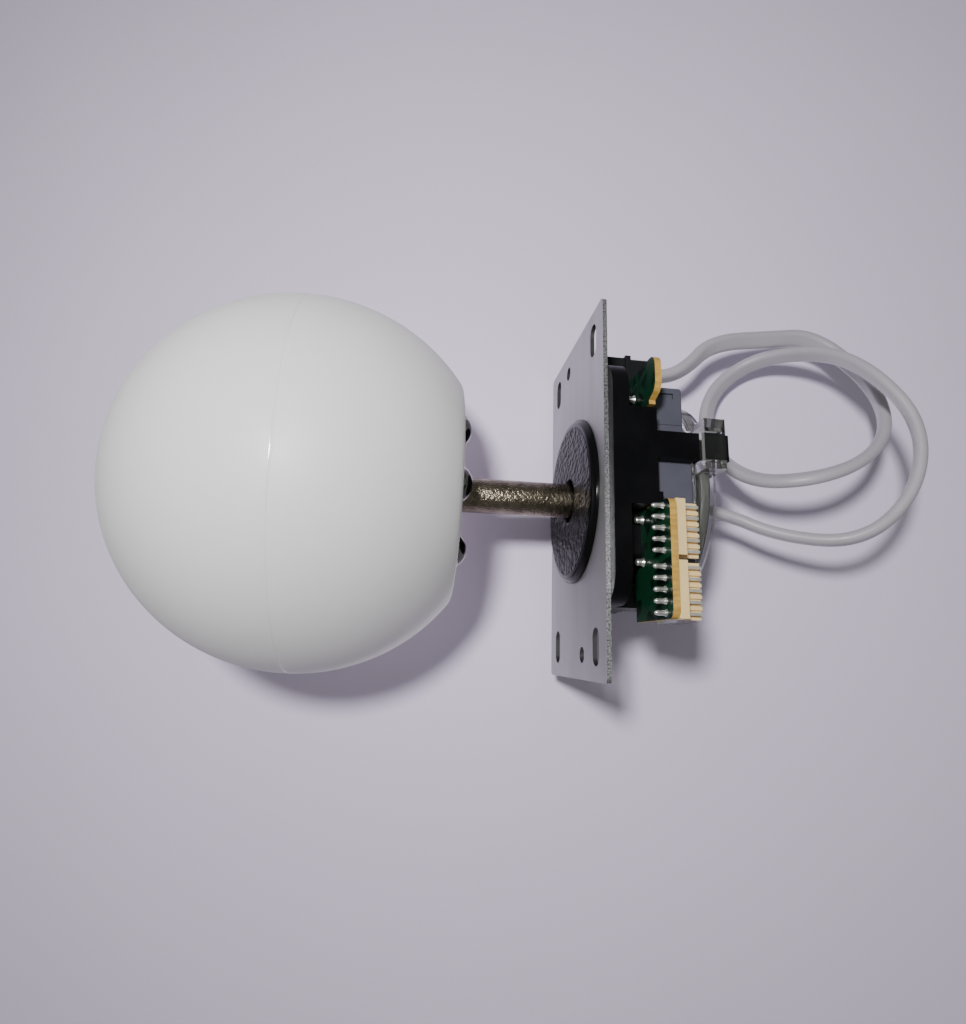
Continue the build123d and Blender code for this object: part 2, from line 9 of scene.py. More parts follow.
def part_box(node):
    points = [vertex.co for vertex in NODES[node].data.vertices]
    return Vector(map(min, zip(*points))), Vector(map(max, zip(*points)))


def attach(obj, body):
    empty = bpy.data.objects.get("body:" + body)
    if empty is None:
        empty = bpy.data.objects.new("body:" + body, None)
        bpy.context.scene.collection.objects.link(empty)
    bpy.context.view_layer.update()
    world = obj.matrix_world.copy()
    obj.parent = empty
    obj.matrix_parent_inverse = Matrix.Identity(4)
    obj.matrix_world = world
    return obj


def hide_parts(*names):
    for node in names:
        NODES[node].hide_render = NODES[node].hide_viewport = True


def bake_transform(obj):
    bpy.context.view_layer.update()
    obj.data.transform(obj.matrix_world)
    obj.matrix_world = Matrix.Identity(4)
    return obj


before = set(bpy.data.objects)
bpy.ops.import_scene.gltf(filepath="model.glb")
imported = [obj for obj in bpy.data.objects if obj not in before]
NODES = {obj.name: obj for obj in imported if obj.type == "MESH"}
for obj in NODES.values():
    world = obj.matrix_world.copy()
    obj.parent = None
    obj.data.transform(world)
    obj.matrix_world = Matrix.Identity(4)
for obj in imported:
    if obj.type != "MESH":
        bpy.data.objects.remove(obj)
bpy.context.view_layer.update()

bl_info = {
    "name": "Arcade joystick lever",
    "version": (1, 0, 0),
    "blender": (4, 5, 0),
    "location": "View3D > Sidebar > Joystick",
    "description": "Dresses the packed lever with its finishes, lead and table",
    "category": "Object",
}

MM = 0.001
# Lengths below this are taken as zero, and points this close are one point
TINY = 1e-9
WELD = 1e-7


def node_top(node):
    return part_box(node)[1][2]


def node_bottom(node):
    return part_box(node)[0][2]


# Settings


class GlobeSettings(bpy.types.PropertyGroup):
    milk: FloatVectorProperty(
        name="Milk colour",
        description="Colour of the cloudy plastic",
        subtype="COLOR",
        default=(0.825, 0.78, 0.775),
    )
    glow_depth: FloatProperty(
        name="Glow depth",
        description="How far light spreads inside the plastic",
        default=9 * MM,
        unit="LENGTH",
    )
    wall: FloatProperty(
        name="Wall", description="Thickness of the shells", default=3 * MM, unit="LENGTH"
    )
    seam: FloatProperty(
        name="Seam",
        description="Width of the line between the shells",
        default=0.3 * MM,
        unit="LENGTH",
    )
    seam_depth: FloatProperty(
        name="Seam depth",
        description="Depth of the line between the shells",
        default=0.04 * MM,
        unit="LENGTH",
    )
    segments: IntProperty(
        name="Segments", description="Facets round the globe", default=160, min=24
    )


class MetalSettings(bpy.types.PropertyGroup):
    plate: FloatVectorProperty(
        name="Plate",
        description="Colour of the plated sheet",
        subtype="COLOR",
        default=(0.415, 0.415, 0.43),
    )
    shaft: FloatVectorProperty(
        name="Shaft",
        description="Colour of the shaft's nickel",
        subtype="COLOR",
        default=(0.235, 0.197, 0.151),
    )
    screw: FloatVectorProperty(
        name="Screw",
        description="Colour of the dark screws",
        subtype="COLOR",
        default=(0.34, 0.33, 0.31),
    )
    solder: FloatVectorProperty(
        name="Solder",
        description="Colour of solder and tinned pins",
        subtype="COLOR",
        default=(0.78, 0.77, 0.73),
    )
    spring_wire: FloatProperty(
        name="Spring wire",
        description="Diameter of the return spring's wire",
        default=1 * MM,
        unit="LENGTH",
    )
    spring_turns: FloatProperty(
        name="Spring turns", description="Turns of the return spring", default=5.0
    )


class PlasticSettings(bpy.types.PropertyGroup):
    black: FloatVectorProperty(
        name="Black",
        description="Colour of the black mouldings",
        subtype="COLOR",
        default=(0.003, 0.003, 0.0035),
    )
    switch: FloatVectorProperty(
        name="Switch",
        description="Colour of the switch cases",
        subtype="COLOR",
        default=(0.069, 0.069, 0.095),
    )
    ivory: FloatVectorProperty(
        name="Ivory",
        description="Colour of the pin wafers",
        subtype="COLOR",
        default=(0.78, 0.57, 0.28),
    )
    natural: FloatVectorProperty(
        name="Natural",
        description="Colour of the greased inner mouldings",
        subtype="COLOR",
        default=(0.72, 0.72, 0.69),
    )
    plug: FloatVectorProperty(
        name="Plug",
        description="Colour of the plug",
        subtype="COLOR",
        default=(0.012, 0.0125, 0.0145),
    )


class BoardSettings(bpy.types.PropertyGroup):
    mask: FloatVectorProperty(
        name="Solder mask",
        description="Colour of the board's face",
        subtype="COLOR",
        default=(0.002, 0.011, 0.007),
    )
    track: FloatVectorProperty(
        name="Track",
        description="Colour of the mask over copper",
        subtype="COLOR",
        default=(0.006, 0.048, 0.022),
    )
    fibre: FloatVectorProperty(
        name="Edge",
        description="Colour of the board's cut edge",
        subtype="COLOR",
        default=(0.46, 0.275, 0.065),
    )
    joint_height: FloatProperty(
        name="Solder height",
        description="Height of a solder joint",
        default=2.8 * MM,
        unit="LENGTH",
    )
    joint_radius: FloatProperty(
        name="Solder radius",
        description="Foot radius of a solder joint",
        default=0.8 * MM,
        unit="LENGTH",
    )


class CordSettings(bpy.types.PropertyGroup):
    sheath: FloatVectorProperty(
        name="Sheath",
        description="Colour of the lead's sheath",
        subtype="COLOR",
        default=(0.435, 0.405, 0.45),
    )
    width: FloatProperty(
        name="Width", description="Width of the flat lead", default=5.2 * MM, unit="LENGTH"
    )
    thickness: FloatProperty(
        name="Thickness",
        description="Thickness of the flat lead",
        default=3.1 * MM,
        unit="LENGTH",
    )
    length: FloatProperty(
        name="Length",
        description="Length of the lead outside the shaft",
        default=0.3467,
        unit="LENGTH",
    )


class StageSettings(bpy.types.PropertyGroup):
    table: FloatVectorProperty(
        name="Table",
        description="Colour of the pale table",
        subtype="COLOR",
        default=(0.845, 0.745, 0.965),
    )
    table_gap: FloatProperty(
        name="Table distance",
        description="Distance from the plate's centre to the table",
        default=34.05 * MM,
        unit="LENGTH",
    )
    table_reach: FloatProperty(
        name="Table reach", description="Half the table's side", default=1.6, unit="LENGTH"
    )
    key: FloatProperty(
        name="Lamp", description="Strength of the near lamp", default=0.95, unit="POWER"
    )
    lamp_size: FloatProperty(
        name="Lamp size", description="Width of the near lamp", default=35 * MM, unit="LENGTH"
    )
    lamp_place: FloatVectorProperty(
        name="Lamp place",
        description="Place of the near lamp",
        subtype="TRANSLATION",
        default=(9.0 * MM, -268.0 * MM, 103.0 * MM),
    )
    back: FloatProperty(
        name="Back lamp",
        description="Strength of the soft lamp behind the table",
        default=1.4,
        unit="POWER",
    )
    back_size: FloatProperty(
        name="Back lamp size",
        description="Width of the soft lamp behind the table",
        default=0.6,
        unit="LENGTH",
    )
    back_gap: FloatProperty(
        name="Back lamp distance",
        description="Distance from the plate's centre to the soft lamp",
        default=0.5,
        unit="LENGTH",
    )
    room: FloatVectorProperty(
        name="Room",
        description="Colour of the room's even light",
        subtype="COLOR",
        default=(0.92, 0.97, 0.90),
    )
    fill: FloatProperty(
        name="Room light", description="Strength of the room's even light", default=0.2
    )
    lens: FloatProperty(
        name="Lens", description="Focal length of the camera", default=21.78, unit="CAMERA"
    )


# Meshes


def add_piece(name, shape, body, material):
    """Adds a piece of the scene that moves with a body of the frame."""
    piece = bpy.data.objects.new(name, shape)
    bpy.context.scene.collection.objects.link(piece)
    piece.data.materials.append(material)
    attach(piece, body)
    return piece


def finish_mesh(name, bm, sharp_degrees=35):
    """Turns the built faces into a mesh, smooth but for its sharp edges."""
    bmesh.ops.remove_doubles(bm, verts=bm.verts, dist=WELD)
    bmesh.ops.recalc_face_normals(bm, faces=bm.faces)
    limit = math.radians(sharp_degrees)
    for face in bm.faces:
        face.smooth = True
    for edge in bm.edges:
        edge.smooth = len(edge.link_faces) != 2 or edge.calc_face_angle() < limit
    mesh = bpy.data.meshes.new(name)
    bm.to_mesh(mesh)
    bm.free()
    return mesh


def turn_outline(bm, outline, segments, place=None):
    """Adds the solid that a closed outline of (radius, height) sweeps about the Z axis."""
    place = place or Matrix.Identity(4)
    rings = []
    for radius, height in outline:
        if radius < TINY:
            rings.append([bm.verts.new(place @ Vector((0, 0, height)))])
            continue
        rings.append(
            [
                bm.verts.new(
                    place
                    @ Vector(
                        (
                            radius * math.cos(2 * math.pi * k / segments),
                            radius * math.sin(2 * math.pi * k / segments),
                            height,
                        )
                    )
                )
                for k in range(segments)
            ]
        )
    for low, high in zip(rings, rings[1:] + rings[:1]):
        if len(low) == 1 and len(high) == 1:
            continue
        for k in range(segments):
            n = (k + 1) % segments
            corners = [low[k % len(low)], low[n % len(low)], high[n % len(high)], high[k % len(high)]]
            bm.faces.new(list(dict.fromkeys(corners)))


def wind_coil(bm, radius, wire, turns, low, high, facets=10, turn_steps=40):
    """Adds a round wire wound about the Z axis, with flat ends."""
    count = round(turns * turn_steps)
    climb = (high - low) / (2 * math.pi * turns)
    rings = []
    for k in range(count + 1):
        angle = 2 * math.pi * turns * k / count
        outward = Vector((math.cos(angle), math.sin(angle), 0))
        along = Vector((-radius * math.sin(angle), radius * math.cos(angle), climb)).normalized()
        upward = outward.cross(along)
        centre = radius * outward + Vector((0, 0, low + climb * angle))
        rings.append(
            [
                bm.verts.new(
                    centre
                    + wire * math.cos(2 * math.pi * n / facets) * outward
                    + wire * math.sin(2 * math.pi * n / facets) * upward
                )
                for n in range(facets)
            ]
        )
    for first, second in zip(rings, rings[1:]):
        for n in range(facets):
            m = (n + 1) % facets
            bm.faces.new((first[n], first[m], second[m], second[n]))
    bm.faces.new(rings[0])
    bm.faces.new(rings[-1])


def rounded(outline, steps=4):
    """The closed outline with its (radius, height, size) corners rounded, the others sharp."""
    points = []
    count = len(outline)
    for k, corner in enumerate(outline):
        here = Vector(corner[:2])
        if len(corner) == 2:
            points.append(tuple(here))
            continue
        before = Vector(outline[k - 1][:2]) - here
        after = Vector(outline[(k + 1) % count][:2]) - here
        size = min(corner[2], 0.45 * before.length, 0.45 * after.length)
        start = here + before.normalized() * size
        end = here + after.normalized() * size
        for step in range(steps + 1):
            t = step / steps
            points.append(tuple((1 - t) ** 2 * start + 2 * t * (1 - t) * here + t * t * end))
    return points


def island_centres(mesh):
    """The (x, y) centres of a mesh's separate solids."""
    bm = bmesh.new()
    bm.from_mesh(mesh)
    bmesh.ops.remove_doubles(bm, verts=bm.verts, dist=10 * WELD)
    seen = set()
    centres = []
    bm.verts.ensure_lookup_table()
    for start in bm.verts:
        if start.index in seen:
            continue
        stack = [start]
        seen.add(start.index)
        island = []
        while stack:
            vert = stack.pop()
            island.append(vert.co.copy())
            for edge in vert.link_edges:
                other = edge.other_vert(vert)
                if other.index not in seen:
                    seen.add(other.index)
                    stack.append(other)
        xs = [v.x for v in island]
        ys = [v.y for v in island]
        centres.append(((min(xs) + max(xs)) / 2, (min(ys) + max(ys)) / 2))
    bm.free()
    return centres


# Materials


def shade(colour, factor):
    return tuple(min(1.0, c * factor) for c in colour)


class Finish:
    """A material's node tree with short calls for the nodes that the finishes share."""

    def __init__(self, name):
        self.material = bpy.data.materials.new(name)
        self.material.use_nodes = True
        self.tree = self.material.node_tree
        self.shader = self.tree.nodes["Principled BSDF"]
        self.place = self.node("ShaderNodeTexCoord").outputs["Object"]

    def node(self, kind, **values):
        made = self.tree.nodes.new(kind)
        for key, value in values.items():
            setattr(made, key, value)
        return made

    def link(self, source, target):
        self.tree.links.new(source, target)

    def set(self, **values):
        for key, value in values.items():
            socket = self.shader.inputs[key.replace("_", " ")]
            if isinstance(value, (tuple, list)) and len(value) == 3 and socket.type == "RGBA":
                value = (*value, 1)
            socket.default_value = value

    def noise(self, scale, detail=3.0, roughness=0.55, place=None):
        made = self.node("ShaderNodeTexNoise")
        made.inputs["Scale"].default_value = scale
        made.inputs["Detail"].default_value = detail
        made.inputs["Roughness"].default_value = roughness
        self.link(place or self.place, made.inputs["Vector"])
        return made.outputs["Fac"]

    def cells(self, scale, feature, place=None):
        made = self.node("ShaderNodeTexVoronoi", feature=feature)
        made.inputs["Scale"].default_value = scale
        self.link(place or self.place, made.inputs["Vector"])
        return made.outputs["Distance"]

    def stretched(self, scale):
        made = self.node("ShaderNodeMapping")
        made.inputs["Scale"].default_value = scale
        self.link(self.place, made.inputs["Vector"])
        return made.outputs["Vector"]

    def math(self, operation, a, b=None):
        made = self.node("ShaderNodeMath", operation=operation)
        for socket, value in zip(made.inputs, (a, b)):
            if value is None:
                continue
            if isinstance(value, (int, float)):
                socket.default_value = value
            else:
                self.link(value, socket)
        return made.outputs["Value"]

    def span(self, value, low, high, to_low=0.0, to_high=1.0):
        made = self.node("ShaderNodeMapRange")
        made.clamp = True
        numbers = {"From Min": low, "From Max": high, "To Min": to_low, "To Max": to_high}
        for key, number in numbers.items():
            made.inputs[key].default_value = number
        self.link(value, made.inputs["Value"])
        return made.outputs["Result"]

    def mix(self, factor, a, b):
        made = self.node("ShaderNodeMix", data_type="RGBA")
        self.link(factor, made.inputs["Factor"])
        for socket, value in ((made.inputs[6], a), (made.inputs[7], b)):
            if isinstance(value, bpy.types.NodeSocket):
                self.link(value, socket)
            else:
                socket.default_value = (*value[:3], 1)
        return made.outputs[2]

    def axis(self, index, source=None):
        made = self.node("ShaderNodeSeparateXYZ")
        self.link(source or self.place, made.inputs["Vector"])
        return made.outputs[index]

    def normal_axis(self, index):
        return self.axis(index, self.node("ShaderNodeNewGeometry").outputs["Normal"])

    def colour(self, source):
        self.link(source, self.shader.inputs["Base Color"])

    def rough(self, source):
        self.link(source, self.shader.inputs["Roughness"])

    def mottle(self, colour, scale, dark, light, detail=3.0, spread=(0.3, 0.7)):
        """Colours the surface in soft patches between two shades of one colour."""
        patches = self.span(self.noise(scale, detail), *spread)
        self.colour(self.mix(patches, shade(colour, dark), shade(colour, light)))

    def satin(self, scale, low, high, detail=3.0):
        """Lets the roughness drift between two values."""
        self.rough(self.span(self.noise(scale, detail), 0.3, 0.7, low, high))

    def bump(self, height, distance, strength=1.0):
        made = self.node("ShaderNodeBump")
        made.inputs["Strength"].default_value = strength
        made.inputs["Distance"].default_value = distance
        self.link(height, made.inputs["Height"])
        self.link(made.outputs["Normal"], self.shader.inputs["Normal"])


def globe_finish(settings, seam_height):
    f = Finish("globe milky plastic")
    f.set(
        Subsurface_Weight=0.85,
        Subsurface_Radius=(1.0, 0.95, 0.86),
        Subsurface_Scale=settings.glow_depth,
        IOR=1.46,
        Coat_Weight=0.05,
        Coat_Roughness=0.3,
    )
    cloud = f.span(f.noise(22, 3), 0.3, 0.7)
    milk = f.mix(cloud, shade(settings.milk, 0.985), shade(settings.milk, 1.015))
    # Darker along the seam in noisy patches: painted shade of the seam's groove
    away = f.math("ABSOLUTE", f.math("SUBTRACT", f.axis(2), seam_height))
    line = f.span(away, 0.2 * settings.seam, settings.seam, 1.0, 0.0)
    seam_shade = f.math("MULTIPLY", line, f.span(f.noise(60, 2), 0.42, 0.6, 0.15, 0.9))
    f.colour(f.mix(seam_shade, milk, shade(settings.milk, 0.955)))
    satin = f.span(f.noise(420, 4), 0.3, 0.7, 0.46, 0.54)
    f.rough(f.math("SUBTRACT", satin, f.math("MULTIPLY", line, 0.37)))
    f.bump(f.noise(1800, 2), 0.012 * MM, 0.4)
    return f.material


def shaft_finish(settings):
    f = Finish("shaft crinkled nickel")
    f.set(Metallic=1.0, Anisotropic=0.2)
    crinkle = f.noise(1150, 6, 0.72, f.stretched((1, 1, 0.55)))
    pits = f.cells(900, "DISTANCE_TO_EDGE")
    tone = f.span(f.noise(300, 4), 0.32, 0.7)
    f.colour(f.mix(tone, shade(settings.shaft, 0.6), shade(settings.shaft, 1.35)))
    f.rough(f.span(crinkle, 0.3, 0.7, 0.13, 0.27))
    height = f.math("ADD", crinkle, f.math("MULTIPLY", f.span(pits, 0.0, 0.3), 0.25))
    f.bump(height, 0.16 * MM, 1.0)
    return f.material


def screw_finish(settings):
    f = Finish("screw dark polished steel")
    f.set(Metallic=1.0)
    f.mottle(settings.screw, 260, 0.75, 1.2, spread=(0.35, 0.65))
    f.satin(500, 0.07, 0.16)
    f.bump(f.noise(1300, 2), 0.006 * MM, 0.4)
    return f.material


def plate_finish(settings, half_x, half_y):
    f = Finish("plate zinc plated sheet")
    f.set(Metallic=0.85)
    facing = f.math("ABSOLUTE", f.normal_axis(2))
    edge = f.span(facing, 0.35, 0.75, 1.0, 0.0)
    near = 0.4 * MM
    full = 0.3 * MM
    ends = f.span(f.math("ABSOLUTE", f.axis(0)), half_x - near, half_x - full)
    sides = f.span(f.math("ABSOLUTE", f.axis(1)), half_y - near, half_y - full)
    outer = f.math("MAXIMUM", ends, sides)
    haze = f.span(f.noise(38, 5), 0.3, 0.7)
    grain = f.noise(240, 3, 0.6, f.stretched((0.05, 1, 1)))
    face = f.mix(haze, shade(settings.plate, 0.93), shade(settings.plate, 1.05))
    torn = f.noise(2300, 4, 0.7)
    cut = f.mix(f.span(torn, 0.38, 0.62), shade(settings.plate, 0.25), shade(settings.plate, 1.4))
    # Cut faces round the holes and slots are painted dark, painted shade inside the openings; the
    # outer cut edge is torn dark and bright
    f.colour(f.mix(edge, face, f.mix(outer, shade(settings.plate, 0.3), cut)))
    satin = f.span(grain, 0.3, 0.7, 0.40, 0.52)
    f.rough(f.math("SUBTRACT", satin, f.math("MULTIPLY", edge, 0.12)))
    brushing = f.math("MULTIPLY", grain, 0.05)
    tearing = f.math("MULTIPLY", f.math("MULTIPLY", outer, torn), 0.3)
    f.bump(f.math("ADD", brushing, tearing), 0.12 * MM, 0.7)
    return f.material


def washer_finish(settings, rim_start):
    f = Finish("washer grained black")
    f.set(Specular_IOR_Level=0.13)
    x = f.axis(0)
    y = f.axis(1)
    radius = f.math("SQRT", f.math("ADD", f.math("MULTIPLY", x, x), f.math("MULTIPLY", y, y)))
    inside = f.span(radius, rim_start - 0.4 * MM, rim_start, 1.0, 0.0)
    warp = f.stretched((1.0, 0.62, 1.0))
    grain = f.span(f.cells(880, "SMOOTH_F1", place=warp), 0.1, 0.75)
    fold = f.span(f.noise(420, 4, 0.6, warp), 0.3, 0.7)
    leather = f.math("MULTIPLY", f.math("ADD", grain, f.math("MULTIPLY", fold, 0.8)), inside)
    ridges = f.math("MULTIPLY", leather, 0.6)
    f.colour(f.mix(ridges, settings.black, shade(settings.black, 4.0)))
    f.rough(f.math("ADD", f.math("MULTIPLY", inside, 0.20), 0.14))
    f.bump(leather, 0.45 * MM, 1.0)
    return f.material


def black_finish(settings):
    f = Finish("housing black moulding")
    f.set(Specular_IOR_Level=0.06)
    f.mottle(settings.black, 90, 0.8, 1.7)
    f.satin(700, 0.28, 0.4)
    f.bump(f.noise(2100, 2), 0.012 * MM, 0.4)
    return f.material


def moulded_finish(name, colour, rough=(0.4, 0.52), coat=0.0, glow=0.0, gloss=0.5):
    f = Finish(name)
    f.set(Coat_Weight=coat, Coat_Roughness=0.3, Specular_IOR_Level=gloss)
    if glow:
        f.set(Subsurface_Weight=glow, Subsurface_Scale=0.8 * MM, Subsurface_Radius=(1.0, 0.9, 0.7))
    f.mottle(colour, 130, 0.93, 1.06, detail=4)
    f.satin(900, *rough)
    f.bump(f.noise(2600, 2), 0.018 * MM, 0.5)
    return f.material


def board_finish(settings):
    f = Finish("board green solder mask")
    f.set(Specular_IOR_Level=0.15)
    facing = f.math("ABSOLUTE", f.normal_axis(2))
    edge = f.span(facing, 0.4, 0.7, 1.0, 0.0)
    lanes = f.cells(150, "DISTANCE_TO_EDGE", place=f.stretched((1.0, 0.8, 0.0)))
    copper = f.span(lanes, 0.10, 0.13, 1.0, 0.0)
    pour = f.span(f.noise(34, 1, 0.4, f.stretched((1, 1, 0))), 0.54, 0.56)
    tracks = f.math("MAXIMUM", copper, pour)
    face = f.mix(f.math("MULTIPLY", tracks, 0.7), settings.mask, settings.track)
    weave = f.noise(900, 3, 0.6, f.stretched((1, 1, 0.3)))
    fibre = f.mix(f.span(weave, 0.35, 0.65), shade(settings.fibre, 0.8), shade(settings.fibre, 1.2))
    f.colour(f.mix(edge, face, fibre))
    gloss = f.span(f.noise(300, 2), 0.3, 0.7, 0.25, 0.38)
    f.rough(f.math("ADD", f.math("MULTIPLY", edge, 0.4), gloss))
    raised = f.math("MULTIPLY", tracks, 0.4)
    frayed = f.math("MULTIPLY", f.math("MULTIPLY", edge, weave), 0.8)
    f.bump(f.math("ADD", raised, frayed), 0.07 * MM, 0.8)
    return f.material


def solder_finish(settings):
    f = Finish("solder bright tin")
    f.set(Metallic=0.9)
    f.mottle(settings.solder, 400, 0.78, 1.1)
    f.satin(700, 0.2, 0.36)
    f.bump(f.noise(1500, 2), 0.02 * MM, 0.5)
    return f.material


def pin_finish(settings):
    f = Finish("pin pale tin")
    f.set(Metallic=0.85)
    f.mottle(settings.solder, 500, 0.95, 1.15)
    f.satin(700, 0.3, 0.45)
    f.bump(f.noise(1500, 2), 0.015 * MM, 0.4)
    return f.material


def clear_finish():
    f = Finish("gate clear plastic")
    f.set(Base_Color=(0.95, 0.96, 0.95), Transmission_Weight=1.0, IOR=1.47)
    f.rough(f.span(f.noise(260, 3), 0.35, 0.7, 0.02, 0.09))
    f.bump(f.noise(180, 3), 0.05 * MM, 0.25)
    return f.material


def cord_finish(settings):
    f = Finish("lead pale sheath")
    f.set(Subsurface_Weight=0.25, Subsurface_Scale=1.2 * MM, Subsurface_Radius=(1.0, 0.95, 0.9))
    f.mottle(settings.sheath, 60, 0.95, 1.04, detail=4)
    f.satin(500, 0.36, 0.48)
    f.bump(f.noise(700, 3), 0.03 * MM, 0.5)
    return f.material


def lens_finish():
    f = Finish("light chip yellow cast")
    f.set(Coat_Weight=0.6, Coat_Roughness=0.05)
    amber = (0.72, 0.55, 0.12)
    straw = (0.85, 0.75, 0.3)
    f.colour(f.mix(f.span(f.noise(700, 3), 0.3, 0.7), amber, straw))
    f.satin(900, 0.2, 0.35, detail=2)
    f.bump(f.noise(1500, 2), 0.02 * MM, 0.4)
    return f.material


def table_finish(colour):
    f = Finish("table pale paper")
    f.mottle(colour, 6, 0.985, 1.015)
    f.satin(80, 0.55, 0.65)
    f.bump(f.noise(900, 3), 0.02 * MM, 0.3)
    behind = f.node("ShaderNodeNewGeometry").outputs["Backfacing"]
    from_lamp = f.node("ShaderNodeLightPath").outputs["Is Shadow Ray"]
    clear = f.node("ShaderNodeBsdfTransparent")
    both = f.node("ShaderNodeMixShader")
    f.link(f.math("MAXIMUM", behind, from_lamp), both.inputs["Fac"])
    f.link(f.shader.outputs["BSDF"], both.inputs[1])
    f.link(clear.outputs["BSDF"], both.inputs[2])
    f.link(both.outputs["Shader"], f.tree.nodes["Material Output"].inputs["Surface"])
    return f.material


def dress(node, material, bevel=0.0, segments=2):
    """Gives a solid of the frame its finish and a softly broken edge."""
    solid = NODES[node]
    solid.data.materials.clear()
    solid.data.materials.append(material)
    if bevel:
        edge = solid.modifiers.new("broken edge", "BEVEL")
        edge.width = bevel
        edge.segments = segments
        edge.limit_method = "ANGLE"
        edge.angle_limit = math.radians(40)
        edge.harden_normals = True
    return solid


# Operators


# Direction from the lever straight on into the table
TABLE_AWAY = (0.0954, 0.9759, -0.1962)


def set_camera(settings):
    """Stands the camera over the lever as it lies on its side, with the globe on the left."""
    camera = bpy.data.objects.new("camera", bpy.data.cameras.new("camera"))
    bpy.context.scene.collection.objects.link(camera)
    right = Vector((0.0324, -0.12585, -0.99152)).normalized()
    ahead = Vector((0.22578, 0.96732, -0.1154)).normalized()
    up = right.cross(ahead).normalized()
    turn = Matrix((right, up, -ahead)).transposed().to_4x4()
    spot = Vector((-41.172, -163.193, 45.081)) * MM
    camera.matrix_world = Matrix.Translation(spot) @ turn
    camera.data.sensor_fit = "AUTO"
    camera.data.sensor_width = 36.0
    camera.data.lens = settings.lens
    picture_height = 1024.0
    picture_drop = 5.0
    camera.data.shift_y = -picture_drop / picture_height
    camera.data.clip_start = 5 * MM
    bpy.context.scene.camera = camera


def lay_table(settings, away):
    """Lays the pale table under the lever."""
    across = away.orthogonal().normalized()
    along = away.cross(across).normalized()
    centre = away * settings.table_gap
    reach = settings.table_reach
    bm = bmesh.new()
    corners = [
        bm.verts.new(centre + across * sx * reach + along * sz * reach)
        for sx, sz in ((-1, -1), (1, -1), (1, 1), (-1, 1))
    ]
    face = bm.faces.new(corners)
    face.normal_update()
    if face.normal.dot(away) > 0:
        face.normal_flip()
    mesh = bpy.data.meshes.new("table")
    bm.to_mesh(mesh)
    bm.free()
    table = bpy.data.objects.new("table", mesh)
    table.data.materials.append(table_finish(settings.table))
    bpy.context.scene.collection.objects.link(table)


def hang_lamp(name, power, size, place, aim):
    """Hangs a round soft lamp that shines along its aim."""
    light = bpy.data.lights.new(name, "AREA")
    light.shape = "DISK"
    light.size = size
    light.energy = power
    lamp = bpy.data.objects.new(name, light)
    lamp.location = place
    lamp.rotation_euler = aim.to_track_quat("-Z", "Y").to_euler()
    bpy.context.scene.collection.objects.link(lamp)


def light_room(settings):
    """Fills the room with even light."""
    world = bpy.data.worlds.new("room")
    world.use_nodes = True
    room = world.node_tree.nodes["Background"]
    room.inputs["Color"].default_value = (*settings.room, 1)
    room.inputs["Strength"].default_value = settings.fill
    bpy.context.scene.world = world


class JOYSTICK_OT_stage(bpy.types.Operator):
    """Sets the camera, the pale table under the lever, the two lamps and the room's light"""

    bl_idname = "joystick.stage"
    bl_label = "Stage"

    def execute(self, context):
        settings = context.scene.joystick_stage
        away = Vector(TABLE_AWAY).normalized()
        set_camera(settings)
        lay_table(settings, away)
        hang_lamp("lamp", settings.key, settings.lamp_size, settings.lamp_place, away)
        behind = away * settings.back_gap
        hang_lamp("back_lamp", settings.back, settings.back_size, behind, -away)
        light_room(settings)
        return {"FINISHED"}


# Places of the lead in millimetres, each with the turn of its flat side in degrees
CORD_ROUTE = (
    ((0.0, 0.0, -31.7), 0),
    ((0.0, 0.0, -42.1), 4),
    ((-8.0, -6.7, -55.7), 10),
    ((-11.2, -19.4, -70.7), 11),
    ((2.0, -24.7, -83.4), 8),
    ((20.4, -25.7, -86.4), 2),
    ((37.3, -20.1, -78.7), 6),
    ((49.3, -7.1, -73.9), 10),
    ((53.0, 8.4, -61.1), 8),
    ((42.1, 13.6, -47.9), 16),
    ((22.9, 9.6, -44.1), 40),
    ((7.3, -5.8, -48.0), 64),
    ((5.1, -18.8, -59.2), 68),
    ((12.0, -18.2, -76.1), 36),
    ((25.7, -10.9, -89.8), -8),
    ((42.5, -4.2, -91.0), -4),
    ((57.6, -0.5, -76.6), 34),
    ((56.6, 1.6, -63.0), 58),
    ((52.6, 0.0, -42.8), 52),
    ((43.0, -0.5, -34.1), 24),
    ((39.6, 0.4, -26.9), 4),
    ((39.6, 0.4, -20.1), 0),
)


class JOYSTICK_OT_cord(bpy.types.Operator):
    """Lays the pale lead in its loose loops from the shaft's end to its plug"""

    bl_idname = "joystick.cord"
    bl_label = "Lead and plug"

    def execute(self, context):
        settings = context.scene.joystick_cord
        curve = bpy.data.curves.new("lead", "CURVE")
        curve.dimensions = "3D"
        curve.bevel_depth = settings.thickness / 2
        curve.extrude = (settings.width - settings.thickness) / 2
        curve.bevel_resolution = 6
        curve.use_fill_caps = True
        spline = curve.splines.new("NURBS")
        spline.points.add(len(CORD_ROUTE) - 1)
        for point, (place, turn) in zip(spline.points, CORD_ROUTE):
            point.co = (*(Vector(place) * MM), 1)
            point.tilt = math.radians(turn)
        spline.order_u = 3
        spline.use_endpoint_u = True
        spline.resolution_u = 14
        sheath = cord_finish(settings)
        lead = add_piece("lead", curve, "base", sheath)
        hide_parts("cord")
        dress("led_lead", sheath)
        charcoal = moulded_finish(
            "plug charcoal moulding", context.scene.joystick_plastic.plug, (0.42, 0.55), gloss=0.15
        )
        plug = dress("plug", charcoal, bevel=0.25 * MM)
        return {"FINISHED"}


